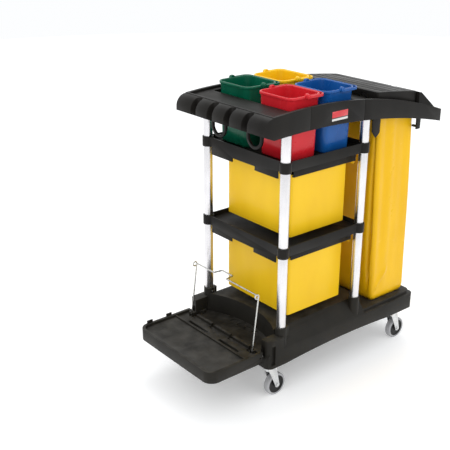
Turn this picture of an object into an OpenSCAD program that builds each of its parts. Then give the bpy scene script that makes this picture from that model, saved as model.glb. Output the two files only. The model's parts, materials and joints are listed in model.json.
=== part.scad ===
// Housekeeping cart: moulded base on four swivel casters, twelve tube segments,
// two tray shelves with sliding bins, a crowned hood with four lift-out pails,
// a hung waste bag under a hinged lid, and a folding end platform with a wire bail.

/* [Overall] */
// Overall length, platform edge to hood tip
cart_l = 1226; // [1200:1:1480]
// Overall width of the base and hood
cart_w = 516; // [510:1:640]
// Height between the lower and upper shelf
shelf_pitch = 340; // [280:1:420]
// Height of the lower shelf above the base underside
lower_shelf_rise = 456; // [420:1:520]
// Height of the hood sockets above the upper shelf collars
hood_rise = 104; // [95:1:160]

/* [Posts] */
// Outside diameter of the post tubes
post_d = 38; // [32:0.5:46]
// Wall of the post tubes
post_wall = 1.6; // [1:0.1:3]
// Spacing of front and rear posts
post_pitch = 420; // [400:1:520]
// Distance from the platform edge to the front posts
post_setback = 366; // [350:1:400]
// Distance from the cart side to the post centres
post_inset = 28; // [26:1:32]
// Wall of the plastic around each tube
socket_wall = 4; // [3:0.5:6]
// Radial clearance of a tube in its socket
tube_clear = 0.1; // [0.05:0.05:0.4]
// Depth that a tube enters a shelf collar from each side
collar_depth = 18; // [12:1:19]

/* [Shelves] */
// Height of the shelf band and collars
band_h = 40; // [40:1:60]
// Thickness of the shelf band and floor
shelf_wall = 4; // [3:0.5:6]
// Depth of the shelf floor below the band top
tray_depth = 18; // [8:1:30]
// Distance that the band stands outboard of the post centres
band_out = 8; // [4:1:12]
// Drop of the front skirt below the band
skirt_drop = 30; // [20:1:36]
// Width of the finger notch in the front skirt
notch_w = 134; // [90:1:200]
// Height of the finger notch
notch_h = 16; // [8:1:24]

/* [Bins] */
// Length of a bin body
bin_l = 306; // [260:1:330]
// Height of a bin
bin_h = 256; // [200:1:258]
// Wall of a bin
bin_wall = 3; // [2:0.5:5]
// Width of the rim flange along the bin sides
bin_flange = 10; // [8:1:14]
// Length of the grip flange at the rear end
bin_grip = 40; // [25:1:44]
// Distance from the front posts to the bin front
bin_setback = 69; // [60:1:80]
// Running clearance of a bin in its runners
bin_clear = 0.8; // [0.4:0.1:2]

/* [Hood] */
// Height of the hood skirt at its crown
skirt_h = 86; // [80:1:110]
// Radius of the hood crown
crown_r = 2200; // [2100:10:2600]
// Radius of the lower edge of the skirt
edge_r = 3000; // [2900:10:3600]
// Wall of the hood shell
hood_wall = 5; // [4:0.5:7]
// Width of the raised lip around the hood
lip_w = 14; // [10:1:18]
// Height of the lip above the top plate
lip_h = 10; // [6:1:14]
// Radius of the rounded tool end
nose_r = 46; // [36:1:56]
// Width of each tool slot
tool_slot_w = 33; // [28:1:44]
// Depth of each tool slot
tool_slot_l = 44; // [36:1:52]
// Spacing of the tool slots
tool_pitch = 100; // [80:1:110]

/* [Pails] */
// Rim length of a pail along the cart
pail_l = 168; // [140:1:176]
// Rim width of a pail across the cart
pail_w = 190; // [160:1:200]
// Height of a pail
pail_h = 244; // [236:1:280]
// Wall of a pail
pail_wall = 2.5; // [2:0.5:4]
// Width of the pail rim flange
pail_rim = 5; // [3:1:8]
// Corner radius of a pail
pail_r = 30; // [16:1:40]
// Draft of a pail, taper of each wall over its height
pail_draft = 7; // [3:0.5:12]
// Gap between the rims of neighbouring pails along the cart
pail_gap = 13; // [10:1:20]
// Gap between the rims of neighbouring pails across the cart
pail_gap_y = 50; // [24:1:60]
// Diameter of the handle pivots
pivot_d = 8; // [6:0.5:10]
// Running clearance of handle pivots and hinge pins
pin_clear = 0.08; // [0.05:0.01:0.1]

/* [Bag bay] */
// Distance from the rear posts to the lid
lid_setback = 68; // [60:1:90]
// Distance from the lid to the hood tip
lid_tail = 129; // [110:1:150]
// Distance from the cart side to the lid side
lid_inset = 33; // [28:1:45]
// Radius of the lid crown
lid_r = 4200; // [3800:10:5200]
// Height of the lid crown above the hood crown
lid_rise = 6; // [2:1:14]
// Wall of the lid
lid_wall = 4; // [3:0.5:6]
// Wall of the bag
bag_wall = 3; // [2:0.5:5]
// Distance from the rear posts to the bag
bag_setback = 91; // [80:1:110]

/* [Base] */
// Height of the side skirt of the base
base_h = 70; // [60:1:90]
// Height of the raised middle deck above the base underside
deck_rise = 138; // [120:1:160]
// Height of the front corner blocks above the base underside
block_rise = 124; // [110:1:130]
// Width of the shoulder along each side
shoulder_w = 53; // [50:1:70]
// Wall of the base shell
base_wall = 5; // [4:0.5:7]
// Distance from the hood tip to the rear end of the base
base_tail = 68; // [50:1:90]
// Distance from the front posts to the front end of the base
base_nose = 87; // [80:1:95]
// Corner radius of the base
base_r = 26; // [16:1:30]

/* [Platform] */
// Depth of the platform rim
plat_h = 48; // [40:1:56]
// Distance from the cart side to the platform side
plat_inset = 18; // [16:1:26]
// Corner radius of the platform
plat_r = 44; // [30:1:60]
// Height of the hinge axis above the base underside
hinge_rise = 60; // [55:1:66]
// Diameter of the hinge pins
hinge_d = 8; // [6:0.5:10]
// Diameter of the bail wire
wire_d = 6; // [4:0.5:7]
// Height of the bail above its pivots
bail_h = 230; // [180:1:260]
// Lean of the bail towards the cart
bail_lean = 30; // [10:1:36]

/* [Casters] */
// Wheel diameter
wheel_d = 96; // [75:1:116]
// Wheel width
wheel_w = 28; // [22:1:32]
// Height of the swivel head
head_h = 49; // [42:1:56]
// Trail of the wheel behind the swivel
trail = 30; // [22:1:34]
// Distance from the base ends and sides to the swivel axes
caster_inset = 36; // [34:1:44]
// Distance from the rear end of the base to the rear swivel axes
caster_tail = 104; // [90:1:120]

/* [Hidden] */
$fn = 48;
eps = 0.01;
cut = 1;
arc_fn = 720;
seat_clear = 0.3;

// colours
black = "#2e2c2a";
deck_grey = "#4a4744";
bin_yellow = "#f5c423";
alu = "#cfd2d6";
zinc = "#c9ccd0";
tread = "#8d8f92";

// places along the cart
front_x = -cart_l / 2 + post_setback;
rear_x = front_x + post_pitch;
tip_x = cart_l / 2;
post_y = cart_w / 2 - post_inset;
collar_d = post_d + 2 * tube_clear + 2 * socket_wall;

// heights
base_z = wheel_d + head_h;
lower_z = base_z + lower_shelf_rise;
upper_z = lower_z + shelf_pitch;
hood_z = upper_z + band_h + hood_rise;
socket_top_z = base_z + 158;
socket_floor_z = base_z + 62;
tray_z = band_h - tray_depth;
base_screw_z = socket_top_z - 14;
screw_d = 3;
screw_head_h = 1.5;

// base
base_x0 = front_x - base_nose;
base_x1 = tip_x - base_tail;
deck_z = base_z + deck_rise;
bag_deck_z = base_z + 84;
well_z = base_z + 55;
well_y = cart_w / 2 - 46;
well_r = 407;
well_x = front_x + 39;
arch_rise = 12;
arch_l = 620;

// hood
crown_x = front_x + 127;
crown_z = hood_z + 6 + skirt_h;
hood_x0 = front_x - 134;
plate_drop = lip_h;
bore_top = 32;
plate_t = 1.5;
lid_x0 = rear_x + lid_setback;
lid_x1 = tip_x - lid_tail;
lid_y = cart_w / 2 - lid_inset;
lid_hinge_r = 5;
lid_gap = 3;
lid_hinge_x = lid_x0 + 7;
lid_hinge_z = arc_z(crown_r, crown_z, lid_x0) - plate_drop + 10;

// pails
pail_x = [front_x + 113, front_x + 113 + pail_l + pail_gap];
pail_y = (pail_w + pail_gap_y) / 2;
pail_z = upper_z + tray_z + seat_clear;
pivot_z = pail_z + pail_h - 2;
ear_t = 4;
handle_gap = 1.5;
bay_margin = 7;
bay_x0 = pail_x[0] - pail_l / 2 - bay_margin;
bay_x1 = pail_x[1] + pail_l / 2 + bay_margin;
bay_y = min(pail_y + pail_w / 2 + bay_margin, cart_w / 2 - lip_w - 6);

// platform
plat_x0 = -cart_l / 2;
plat_y = cart_w / 2 - plat_inset;
hinge_x = base_x0 - 28;
hinge_z = base_z + hinge_rise;
plat_x1 = hinge_x + 12;
plat_top = hinge_z + 23;
plat_z0 = plat_top - plat_h;
plat_skin = 4;
rim_w = 13;
rim_up = 11;
bail_y = plat_y - 43;
bail_x = hinge_x - 6;
bail_z = hinge_z + 17;

// bins
bin_w = 2 * (post_y - 40);
bin_x0 = front_x + bin_setback;
bin_top = -skirt_drop - 4;
runner_t = 3;
flange_t = 3;
runner_ledge = 9;

// casters
front_caster_x = base_x0 + caster_inset;
rear_caster_x = base_x1 - caster_tail;
caster_y = cart_w / 2 - caster_inset;
kingpin_d = 12;
stem_d = 11;
axle_d = 8;
fork_t = 3;
fork_gap = 2.5;

function arc_z(r, top, x) = top - r + sqrt(r * r - pow(x - crown_x, 2));
function hood_top(x) = arc_z(crown_r, crown_z, x);

// ---- shared shapes ----
// flat rectangle from (x0, -y) to (x1, y) with round corners
module round_rect(x0, x1, y, r) {
    translate([x0 + r, -y]) square([x1 - x0 - 2 * r, 2 * y]);
    translate([x0, -y + r]) square([x1 - x0, 2 * y - 2 * r]);
    for (x = [x0 + r, x1 - r], s = [-1, 1]) translate([x, s * (y - r)]) circle(r = r);
}
module slab(x0, x1, y, z0, z1, r) {
    translate([0, 0, z0]) linear_extrude(z1 - z0) round_rect(x0, x1, y, r);
}
module block(x0, x1, y0, y1, z0, z1) {
    translate([x0, y0, z0]) cube([x1 - x0, y1 - y0, z1 - z0]);
}
module along_y(y0, y1) {
    translate([0, y1, 0]) rotate([90, 0, 0]) linear_extrude(y1 - y0) children();
}
module rod_y(x, y0, y1, z, d) {
    translate([x, y1, z]) rotate([90, 0, 0]) cylinder(d = d, h = y1 - y0);
}
module at_posts() {
    for (x = [front_x, rear_x], s = [-1, 1]) translate([x, s * post_y, 0]) children();
}
module at_casters() {
    for (x = [front_caster_x, rear_caster_x], s = [-1, 1]) translate([x, s * caster_y, 0]) children();
}
module bar(a, b, d) {
    v = b - a;
    translate(a) rotate([0, atan2(norm([v[0], v[1]]), v[2]), atan2(v[1], v[0])])
        cylinder(d = d, h = norm(v), $fn = 24);
}
module wire(points, d) {
    for (i = [0 : len(points) - 2]) bar(points[i], points[i + 1], d);
    for (i = [1 : len(points) - 2]) translate(points[i]) sphere(d = d, $fn = 24);
}

// ---- posts ----
module tube(x, s, z0, z1, screws) {
    color(alu) difference() {
        translate([x, s * post_y, z0]) cylinder(d = post_d, h = z1 - z0);
        translate([x, s * post_y, z0 - cut]) cylinder(d = post_d - 2 * post_wall, h = z1 - z0 + 2 * cut);
        for (z = screws) screw_hole(x, s, z);
    }
}
module lower_post(x, s) {
    tube(x, s, socket_floor_z, lower_z + collar_depth, [base_screw_z, lower_z + collar_depth / 2]);
}
module middle_post(x, s) {
    tube(x, s, lower_z + band_h - collar_depth, upper_z + collar_depth, [upper_z + collar_depth / 2]);
}
module upper_post(x, s) {
    tube(x, s, upper_z + band_h - collar_depth, hood_z + bore_top, []);
}
// pan-head screws through the inboard side of the sockets into the tubes
module post_screws() {
    color(zinc) for (x = [front_x, rear_x], s = [-1, 1])
        for (z = [base_screw_z, lower_z + collar_depth / 2, upper_z + collar_depth / 2])
            translate([x, s * (post_y - collar_d / 2 - screw_head_h), z]) rotate([-s * 90, 0, 0]) {
                cylinder(d = 7, h = screw_head_h);
                cylinder(d = screw_d, h = screw_head_h + socket_wall + post_wall);
            }
}
module screw_hole(x, s, z) {
    translate([x, s * (post_y - collar_d / 2 - cut), z]) rotate([-s * 90, 0, 0])
        cylinder(d = screw_d + 2 * tube_clear, h = collar_d / 2);
}
module screw_holes(z) {
    for (x = [front_x, rear_x], s = [-1, 1]) screw_hole(x, s, z);
}

// ---- base ----
// cross section of the raised middle deck, drawn across the cart
module deck_section(t) {
    y = cart_w / 2 - t;
    top = deck_z - t;
    polygon([[-y, base_z + base_h - t], [-y + shoulder_w, top], [y - shoulder_w, top],
        [y, base_z + base_h - t], [y, base_z], [-y, base_z]]);
}
module along_x(x0, x1) {
    translate([x0, 0, 0]) rotate([90, 0, 90]) linear_extrude(x1 - x0) children();
}
module base_outer() {
    slab(base_x0, base_x1, cart_w / 2, base_z, base_z + base_h, base_r);
    intersection() {
        along_x(front_x - 23, rear_x + collar_d) deck_section(0);
        slab(base_x0, base_x1, cart_w / 2, base_z, deck_z + cut, base_r);
    }
    slab(rear_x, base_x1 - 12, cart_w / 2 - 14, base_z + base_h - eps, bag_deck_z, base_r);
    for (s = [-1, 1]) intersection() {
        slab(base_x0, base_x1, cart_w / 2, base_z, base_z + block_rise, base_r);
        block(base_x0, front_x - 8, s > 0 ? well_y : -cart_w / 2, s > 0 ? cart_w / 2 : -well_y,
            base_z, base_z + block_rise);
    }
}
// hollow underside of the shell
module base_hollow() {
    t = base_wall;
    slab(base_x0 + t, base_x1 - t, cart_w / 2 - t, base_z - cut, well_z - t, base_r - t);
    along_x(well_x + t, rear_x + collar_d - t) deck_section(t);
    slab(rear_x + collar_d, base_x1 - 12 - t, cart_w / 2 - 14 - t, base_z - cut, bag_deck_z - t,
        base_r - t);
}
// front well for small tools, with a curved back wall and cup recesses
module front_well() {
    intersection() {
        translate([well_x - well_r, 0, well_z]) cylinder(r = well_r, h = deck_rise, $fn = 180);
        block(base_x0 - cut, well_x + cut, -well_y, well_y, well_z, deck_z + cut);
    }
    for (i = [0 : 3]) translate([front_x + 6, -66 + 44 * i, well_z - 3]) cylinder(d = 34, h = 4);
}
module base_deck() {
    color(black) difference() {
        union() {
            difference() {
                base_outer();
                base_hollow();
                front_well();
            }
            at_posts() translate([0, 0, base_z]) cylinder(d = collar_d, h = socket_top_z - base_z);
            at_casters() translate([0, 0, base_z]) cylinder(d = 44, h = base_h - 2);
            latch_tabs();
            hinge_lugs();
            for (s = [-1, 1]) translate([base_x0 + 3, s * (cart_w / 2 - 22) - 18, base_z + 3])
                cube([44, 36, 60]);
        }
        at_posts() translate([0, 0, socket_floor_z])
            cylinder(d = post_d + 2 * tube_clear, h = deck_rise);
        screw_holes(base_screw_z);
        at_casters() translate([0, 0, base_z - cut])
            cylinder(d = stem_d + 2 * tube_clear, h = 42 + cut);
        rod_y(hinge_x, -plat_y, plat_y, hinge_z, hinge_d + 2 * pin_clear);
        corner_slots();
        side_arch();
    }
}
module latch_tabs() {
    for (s = [-1, 1]) translate([front_x + collar_d / 2 - 3, s * post_y - 9, socket_top_z - 58])
        cube([14, 18, 54]);
}
// four lugs that carry the platform hinge pin
module hinge_lugs() {
    for (y = [-180, -60, 60, 180]) along_y(y - 9, y + 9) {
        translate([hinge_x, hinge_z]) circle(r = 9);
        polygon([[hinge_x, hinge_z - 9], [base_x0 + base_wall, hinge_z - 24],
            [base_x0 + base_wall, hinge_z - 6], [hinge_x, hinge_z + 9]]);
    }
}
module corner_slots() {
    for (s = [-1, 1]) {
        translate([base_x0 + 16, s * (cart_w / 2) - 10, base_z + 14]) cube([20, 20, 86]);
        translate([base_x0 - cut, s * (cart_w / 2 - 32) - 8, base_z + 48]) cube([7, 16, 46]);
    }
}
// low arch along the lower edge of both side skirts
module side_arch() {
    r = (arch_l * arch_l / 4 + arch_rise * arch_rise) / (2 * arch_rise);
    x = (front_caster_x + rear_caster_x) / 2;
    translate([x, 0, base_z + arch_rise - r]) rotate([90, 0, 0])
        cylinder(r = r, h = cart_w + 2 * cut, center = true, $fn = arc_fn);
}

// ---- shelves ----
module shelf(z) {
    x0 = front_x - band_out;
    x1 = rear_x + band_out;
    y = post_y + band_out;
    color(black) difference() {
        union() {
            difference() {
                slab(x0, x1, y, z, z + band_h, 6);
                slab(x0 + shelf_wall, x1 - shelf_wall, y - shelf_wall, z + tray_z, z + band_h + cut, 4);
                slab(x0 + shelf_wall, x1 - shelf_wall, y - shelf_wall, z - cut,
                    z + tray_z - shelf_wall, 4);
            }
            front_skirt(x0, y, z);
            for (i = [-1 : 1]) block(x0 + shelf_wall, x1 - shelf_wall, i * 110 - 2, i * 110 + 2,
                z, z + tray_z - shelf_wall / 2);
            translate([0, 0, z]) at_posts() cylinder(d = collar_d, h = band_h);
        }
        for (dz = [-cut, band_h - collar_depth]) translate([0, 0, z + dz]) at_posts()
            cylinder(d = post_d + 2 * tube_clear, h = collar_depth + cut);
        translate([0, 0, z]) at_posts() cylinder(d = post_d - 8, h = band_h);
        screw_holes(z + collar_depth / 2);
    }
}
// skirt over the bin front, stepped at its ends, with a finger notch
module front_skirt(x0, y, z) {
    difference() {
        block(x0, x0 + shelf_wall, -y + 40, y - 40, z - skirt_drop, z + cut);
        block(x0 - cut, x0 + shelf_wall + cut, -notch_w / 2, notch_w / 2,
            z - skirt_drop - cut, z - skirt_drop + notch_h);
    }
}
module lower_shelf() {
    shelf(lower_z);
}
module upper_shelf() {
    shelf(upper_z);
}

// ---- bins and runners ----
module runners(z) {
    x0 = bin_x0;
    x1 = rear_x - 12;
    y = bin_w / 2 + bin_flange + bin_clear;
    ledge = z + bin_top - flange_t - bin_clear;
    color(black) for (s = [-1, 1]) scale([1, s, 1]) {
        block(x0, x1, y, y + runner_t, ledge - runner_t, z + tray_z - shelf_wall);
        block(x0, x1, y - runner_ledge, y + runner_t, ledge - runner_t, ledge);
    }
}
module lower_bin_runners() {
    runners(lower_z);
}
module upper_bin_runners() {
    runners(upper_z);
}
module bin(z) {
    top = z + bin_top;
    x1 = bin_x0 + bin_l;
    y = bin_w / 2;
    color(bin_yellow) difference() {
        union() {
            slab(bin_x0, x1, y, top - bin_h, top, 14);
            slab(bin_x0, x1 + bin_grip, y + bin_flange, top - flange_t, top, 14);
            block(x1 + bin_grip - 3, x1 + bin_grip, -y, y, top - 24, top - flange_t / 2);
        }
        slab(bin_x0 + bin_wall, x1 - bin_wall, y - bin_wall, top - bin_h + bin_wall, top + cut, 11);
    }
}
module lower_bin() {
    bin(lower_z);
}
module upper_bin() {
    bin(upper_z);
}

// ---- hood ----
// side view of the hood between two arcs, from x0 to x1, inset by t from the top
module hood_profile(x0, x1, t, low) {
    difference() {
        intersection() {
            translate([crown_x, crown_z - crown_r]) circle(r = crown_r - t, $fn = arc_fn);
            translate([x0, crown_z - 260]) square([x1 - x0, 260]);
        }
        translate([crown_x, crown_z - skirt_h - edge_r]) circle(r = edge_r - low, $fn = arc_fn);
    }
}
// the rounded nose at the tool end, as a side view
module nose_cutter(t) {
    r = nose_r - t;
    x = hood_x0 + nose_r;
    z = hood_top(x) - nose_r - 2;
    difference() {
        translate([hood_x0 - cut, z]) square([nose_r + cut, nose_r + 40]);
        translate([x, z]) circle(r = r, $fn = 96);
    }
}
// slanting cut under the nose, as a side view
module nose_under() {
    x1 = hood_x0 + 52;
    polygon([[hood_x0 - cut, hood_z - 20], [hood_x0 - cut, hood_z + 19], [x1, hood_z - 3],
        [x1, hood_z - 20]]);
}
module tool_slots() {
    for (i = [-1.5 : 1.5]) translate([hood_x0 + tool_slot_l - tool_slot_w / 2, i * tool_pitch, hood_z - 40]) {
        cylinder(d = tool_slot_w, h = 200);
        translate([-tool_slot_l, -tool_slot_w / 2, 0]) cube([tool_slot_l, tool_slot_w, 200]);
    }
}
module hood_shell() {
    t = hood_wall;
    y = cart_w / 2;
    difference() {
        along_y(-y, y) difference() {
            hood_profile(hood_x0, tip_x, 0, 0);
            nose_cutter(0);
            nose_under();
        }
        // hollow underside
        along_y(-y + t, y - t) difference() {
            hood_profile(hood_x0 + tool_slot_l + 14, tip_x - t, plate_drop + t, cut);
            nose_cutter(t);
        }
        // recessed top plate inside the lip
        along_y(-y + lip_w, y - lip_w) difference() {
            translate([hood_x0 + nose_r + 8, crown_z - 260])
                square([tip_x - lip_w - hood_x0 - nose_r - 8, 300]);
            translate([crown_x, crown_z - crown_r]) circle(r = crown_r - plate_drop, $fn = arc_fn);
        }
    }
}
module hood_sockets() {
    for (x = [front_x, rear_x], s = [-1, 1]) translate([x, s * post_y, hood_z])
        cylinder(d = collar_d, h = hood_top(x) - plate_drop - hood_wall / 2 - hood_z);
}
// frame around the bag mouth that the lid closes onto
module bag_mouth_cut() {
    slab(lid_x0 + 16, lid_x1 - 14, lid_y - 14, hood_z - 120, crown_z + 20, 12);
}
module lid_lugs(y_list, half) {
    for (y = y_list) along_y(y - half, y + half) {
        translate([lid_hinge_x, lid_hinge_z]) circle(r = lid_hinge_r);
        translate([lid_hinge_x - lid_hinge_r, lid_hinge_z - 14]) square([2 * lid_hinge_r, 14]);
    }
}
// ramp behind the lid, falling to the hood tip
module tail_ramp() {
    x0 = lid_x1 + 3;
    z0 = arc_z(lid_r, crown_z + lid_rise, lid_x1) - 3;
    along_y(-lid_y - 12, lid_y + 12) polygon([[x0, hood_top(x0) - plate_drop - 2], [x0, z0],
        [x0 + 14, z0 - 3], [tip_x - lip_w, hood_top(tip_x - lip_w) - 2],
        [tip_x - lip_w, hood_top(tip_x - lip_w) - plate_drop - 2]]);
}
module hood() {
    color(black) difference() {
        union() {
            hood_shell();
            hood_sockets();
            tail_ramp();
            lid_lugs([-150, 0, 150], 10);
            bay_walls();
        }
        bay_cut();
        bag_mouth_cut();
        tool_slots();
        for (x = [front_x, rear_x], s = [-1, 1]) translate([x, s * post_y, hood_z - cut])
            cylinder(d = post_d + 2 * tube_clear, h = bore_top + cut);
        rod_y(lid_hinge_x, -lid_y, lid_y, lid_hinge_z, 6 + 2 * pin_clear);
        seam_lines();
        plate_block(tube_clear);
    }
}
module bay_cut() {
    slab(bay_x0, bay_x1, bay_y, hood_z - 60, crown_z + 20, 12);
}
// short wall that hangs around the pail bay
module bay_walls() {
    intersection() {
        slab(bay_x0 - hood_wall, bay_x1 + hood_wall, bay_y + hood_wall, hood_z + 34, crown_z, 14);
        along_y(-cart_w / 2, cart_w / 2) hood_profile(hood_x0, tip_x, plate_drop + 1, cut);
    }
}
module seam_lines() {
    for (x = [front_x + 92, rear_x - 39], s = [-1, 1])
        translate([x - 0.8, s * cart_w / 2 - 0.9, hood_z - 40]) cube([1.6, 1.8, 200]);
}
// D-shaped loops for hanging tools, below the tool end
module tool_loops() {
    x = front_x - 46;
    color(black) for (s = [-1, 1]) translate([x, s * 105, 0]) rotate([90, 0, 90])
        linear_extrude(10) difference() {
            union() {
                translate([0, hood_z - 30]) circle(r = 45);
                translate([-45, hood_z - 30]) square([90, loop_top(x) - hood_z + 30]);
            }
            translate([0, hood_z - 30]) circle(r = 33);
            translate([-33, hood_z - 30]) square([66, 30]);
        }
}
function loop_top(x) = hood_top(x) - plate_drop - hood_wall - seat_clear;
// hooks below the hood that carry the bag corners
module bag_hooks() {
    y = cart_w / 2 - hood_wall;
    y0 = lid_y - 2 + seat_clear;
    a = lid_x0 - 52;
    b = lid_x1 - 22;
    color(black) for (s = [-1, 1]) scale([1, s, 1]) {
        block(a + 33, a + 47, y0, y, hood_z - 70, hood_z - 60);
        block(b + 8, b + 18, y0, y, hood_z - 92, hood_z - 84);
        along_y(y - 5, y) polygon([[a, hook_top(a)], [a + 4, hood_z - 62],
            [a + 25, hood_z - 90], [a + 46, hood_z - 72], [a + 50, hook_top(a + 50)]]);
        along_y(y - 5, y) polygon([[b, hook_top(b)], [b + 2, hood_z - 98],
            [b + 26, hood_z - 98], [b + 28, hook_top(b + 28)]]);
    }
}
function hook_top(x) = hood_top(x) - plate_drop - hood_wall - 2;
module plate_block(grow) {
    translate([crown_x + 76 - grow, -cart_w / 2 - grow, hood_z + 20 - grow])
        cube([84 + 2 * grow, plate_t + grow, 36 + 2 * grow]);
}
module nameplate() {
    color("#b81830") plate_block(0);
}

// ---- lid ----
module lid_outline(t) {
    translate([crown_x, crown_z + lid_rise - lid_r]) circle(r = lid_r - t, $fn = arc_fn);
}
module bag_lid() {
    y = lid_y;
    color(black) difference() {
        intersection() {
            slab(lid_x0, lid_x1, y, hood_z - 60, crown_z + 40, 10);
            along_y(-y, y) difference() {
                lid_outline(0);
                translate([crown_x, crown_z - crown_r])
                    circle(r = crown_r - plate_drop + lid_gap, $fn = arc_fn);
            }
            rod_y(lid_hinge_x, -y, y, lid_hinge_z, 2 * (lid_x1 - lid_hinge_x + 1), $fn = 360);
        }
        intersection() {
            slab(lid_x0 + lid_wall, lid_x1 - lid_wall, y - lid_wall, hood_z - 60, crown_z + 40, 6);
            along_y(-y, y) lid_outline(lid_wall);
        }
        // room for the hood's hinge lugs, and grooves across the top
        for (c = [-150, 0, 150]) block(lid_x0 - cut, lid_hinge_x + lid_hinge_r + 1, c - 10.5, c + 10.5,
            hood_z, lid_hinge_z + lid_hinge_r + 1);
        for (i = [1 : 4]) translate([lid_x0 + 46 * i, -y + 16, 0]) along_x(0, 6)
            translate([0, arc_z(lid_r, crown_z + lid_rise, lid_x0 + 46 * i + 6) - 1.5])
                square([2 * y - 32, 10]);
        // finger notch
        block(lid_x1 - 14, lid_x1 + cut, -116, -90, hood_z, crown_z + 40);
    }
    color(black) lid_knuckles();
}
module lid_knuckles() {
    for (c = [-110, -40, 40, 110]) difference() {
        along_y(c - 10, c + 10) {
            translate([lid_hinge_x, lid_hinge_z]) circle(r = lid_hinge_r);
            translate([lid_hinge_x - lid_hinge_r, lid_hinge_z]) square([2 * lid_hinge_r, 14]);
        }
        rod_y(lid_hinge_x, c - 11, c + 11, lid_hinge_z, 6 + 2 * pin_clear);
    }
}
module lid_hinge_pin() {
    color(zinc) rod_y(lid_hinge_x, -162, 162, lid_hinge_z, 6);
}

// ---- bag ----
// plain outer shape of the hung bag, inset by t
module bag_form(t, z0, z1) {
    x0 = rear_x + bag_setback + t;
    x1 = lid_x1 - 2 - t;
    y = lid_y - 2 - t;
    foot = 36;
    hull() {
        translate([0, 0, z1 - 1]) linear_extrude(1) round_rect(x0, x1, y, 14);
        translate([0, 0, z0]) linear_extrude(1) round_rect(x0 + foot, x1 + foot, y, 14);
    }
}
module bag() {
    z0 = bag_deck_z + seat_clear;
    z1 = hood_z - 18;
    color("#f3be1e") difference() {
        bag_form(0, z0, z1);
        bag_form(bag_wall, z0 + bag_wall, z1 + 1);
    }
}

// ---- pails ----
module pail_form(l, w, r, z0, z1, draft) {
    hull() {
        translate([0, 0, z1 - 1]) linear_extrude(1) round_rect(-l / 2, l / 2, w / 2, r, $fn = 32);
        translate([0, 0, z0]) linear_extrude(1)
            round_rect(-l / 2 + draft, l / 2 - draft, w / 2 - draft, r, $fn = 32);
    }
}
module pail(x, y, tint) {
    l = pail_l - 2 * pail_rim;
    w = pail_w - 2 * pail_rim;
    color(tint) translate([x, y, 0]) difference() {
        union() {
            pail_form(l, w, pail_r, pail_z, pail_z + pail_h, pail_draft);
            slab(-pail_l / 2, pail_l / 2, pail_w / 2, pail_z + pail_h - 8, pail_z + pail_h,
                pail_r + pail_rim);
            for (s = [-1, 1]) pail_ear(s);
        }
        difference() {
            pail_form(l - 2 * pail_wall, w - 2 * pail_wall, pail_r - pail_wall,
                pail_z + pail_wall, pail_z + pail_h + 1, pail_draft);
        }
    }
}
// boss on the rim with a round pivot for the handle
module pail_ear(s) {
    y0 = s > 0 ? pail_w / 2 - 6 : -pail_w / 2 - ear_t;
    rod_y(0, y0, y0 + 6 + ear_t, pivot_z, 22);
    rod_y(0, s > 0 ? pail_w / 2 : -pail_w / 2 - ear_t - 8, s > 0 ? pail_w / 2 + ear_t + 8 : -pail_w / 2,
        pivot_z, pivot_d);
}
// strap handle that lies round the rear side of the rim, just outside it
module handle(x, y, tint) {
    arm_y = pail_w / 2 + ear_t + 1;
    arm_t = 5;
    reach = pail_l / 2 + handle_gap;
    color(tint) translate([x, y, pivot_z]) difference() {
        union() {
            for (s = [-1, 1]) scale([1, s, 1]) {
                rod_y(0, arm_y, arm_y + arm_t, 0, 18);
                block(0, reach + arm_t, arm_y, arm_y + arm_t, -8, 2);
            }
            block(reach, reach + arm_t, -arm_y - arm_t, arm_y + arm_t, -8, 2);
        }
        rod_y(0, -arm_y - 20, arm_y + 20, 0, pivot_d + 2 * pin_clear);
    }
}

// ---- platform and bail ----
module platform() {
    color(deck_grey) difference() {
        union() {
            difference() {
                plat_slab(0, plat_z0, plat_top);
                plat_slab(rim_w, plat_top - rim_up, plat_top + cut);
                difference() {
                    plat_slab(plat_skin, plat_z0 - cut, plat_top - rim_up - plat_skin);
                    block(hinge_x - 16, plat_x1, -plat_y, plat_y, plat_z0, plat_top);
                }
            }
            translate([hinge_x - 70, -plat_y + rim_w, plat_top - rim_up - eps])
                cube([6, 2 * (plat_y - rim_w), 7]);
            bail_ears();
            for (y = [-100, 100])
                block(hinge_x - 55, hinge_x - 37, y - 65, y + 65, plat_z0 + 12, plat_top - rim_up - 1);
            for (x = [plat_x0 + plat_r, hinge_x - 110])
                block(x, x + 26, plat_y - 5, plat_y, plat_top - eps, plat_top + 12);
        }
        for (y = [-180, -60, 60, 180]) block(hinge_x - 14, plat_x1 + cut, y - 10, y + 10, plat_z0 - cut,
            plat_top + cut);
        rod_y(hinge_x, -plat_y - cut, plat_y + cut, hinge_z, hinge_d + 2 * pin_clear);
        for (y = [-100, 100]) block(hinge_x - 52, hinge_x - 40, y - 62, y + 62, plat_z0, plat_top);
        rod_y(bail_x, -bail_y - 24, bail_y + 24, bail_z, wire_d + 2 * pin_clear);
        for (s = [-1, 1]) block(bail_x - 12, bail_x + 8, s * bail_y - 5, s * bail_y + 5,
            bail_z - 8, plat_top + 20);
    }
}
module plat_slab(t, z0, z1) {
    translate([0, 0, z0]) linear_extrude(z1 - z0) {
        r = plat_r - t;
        for (s = [-1, 1]) translate([plat_x0 + plat_r, s * (plat_y - plat_r)]) circle(r = r);
        translate([plat_x0 + plat_r, -plat_y + t]) square([plat_x1 - t - plat_x0 - plat_r, 2 * (plat_y - t)]);
        translate([plat_x0 + t, -plat_y + plat_r]) square([plat_r, 2 * (plat_y - plat_r)]);
    }
}
module bail_ears() {
    for (s = [-1, 1], side = [-1, 1])
        translate([bail_x - 6, s * bail_y + side * 9 - 4, plat_top - rim_up - eps])
            cube([12, 8, rim_up + 1]);
}
module platform_hinge_pin() {
    color(zinc) rod_y(hinge_x, -plat_y + 6, plat_y - 6, hinge_z, hinge_d);
}
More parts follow.
